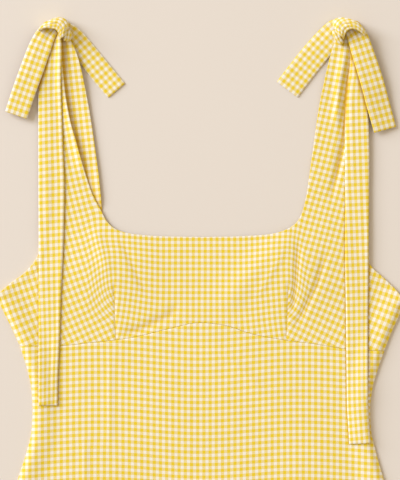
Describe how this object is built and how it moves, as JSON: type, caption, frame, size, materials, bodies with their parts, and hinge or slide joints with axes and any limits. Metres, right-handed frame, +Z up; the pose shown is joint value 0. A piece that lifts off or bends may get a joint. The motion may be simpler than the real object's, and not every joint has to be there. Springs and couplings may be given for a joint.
{
  "type": "square neck dress",
  "caption": "Sleeveless square neck mini dress in yellow gingham cotton with tied shoulder straps, a darted bodice and a flared skirt, laid flat face up.",
  "frame": {"origin": "middle of the dress's length and width, on the surface that it lies on", "axes": "+Y from the hem to the shoulders, +X to the right seen from above, +Z up from the surface"},
  "size_m": [0.578, 0.8868, 0.02],
  "materials": {
    "gingham_cotton": "yellow and white woven check, matt",
    "tie_cotton": "the same check, doubled and pressed, matt"
  },
  "bodies": {
    "root": {"front_bodice": "gingham_cotton", "front_skirt": "gingham_cotton", "back_panel": "gingham_cotton", "back_strap_left": "gingham_cotton", "back_strap_right": "gingham_cotton", "long_tie_left": "tie_cotton", "long_tie_right": "tie_cotton", "short_tie_outer_left": "tie_cotton", "short_tie_outer_right": "tie_cotton", "short_tie_inner_left": "tie_cotton", "short_tie_inner_right": "tie_cotton", "knot_left": "tie_cotton", "knot_right": "tie_cotton"}
  },
  "joints": []
}
